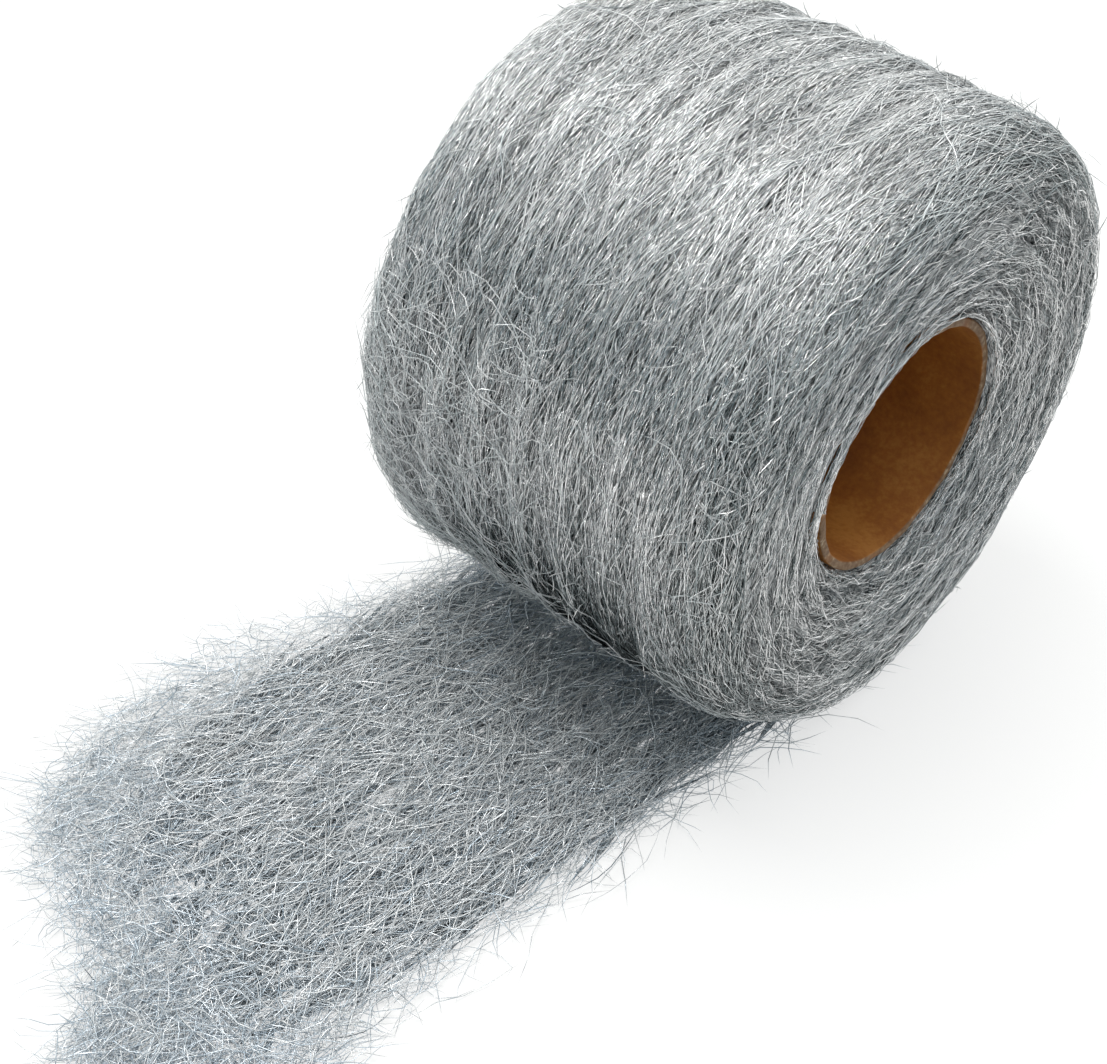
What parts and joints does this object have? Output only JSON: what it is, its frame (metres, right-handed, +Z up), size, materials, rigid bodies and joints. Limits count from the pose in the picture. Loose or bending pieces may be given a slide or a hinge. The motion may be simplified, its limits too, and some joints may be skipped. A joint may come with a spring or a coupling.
{
  "type": "roll of aluminum wool",
  "caption": "Soft ribbon of metal wool wound on a paperboard tube, lying on its side with its loose end run out flat.",
  "frame": {"origin": "on the surface that the roll lies on, in its flat spot, below the middle of its axis", "axes": "+X along the roll's axis, -Y the way the loose end runs out, +Z up"},
  "size_m": [0.1213, 0.2688, 0.1472],
  "materials": {
    "paperboard": "unbleached kraft paperboard, matt, spiral wound",
    "aluminum_wool": "fine bright shaved metal fibres, crimped and loosely matted"
  },
  "bodies": {
    "root": {"core_tube": "paperboard", "wool_ribbon": "aluminum_wool"}
  },
  "joints": []
}
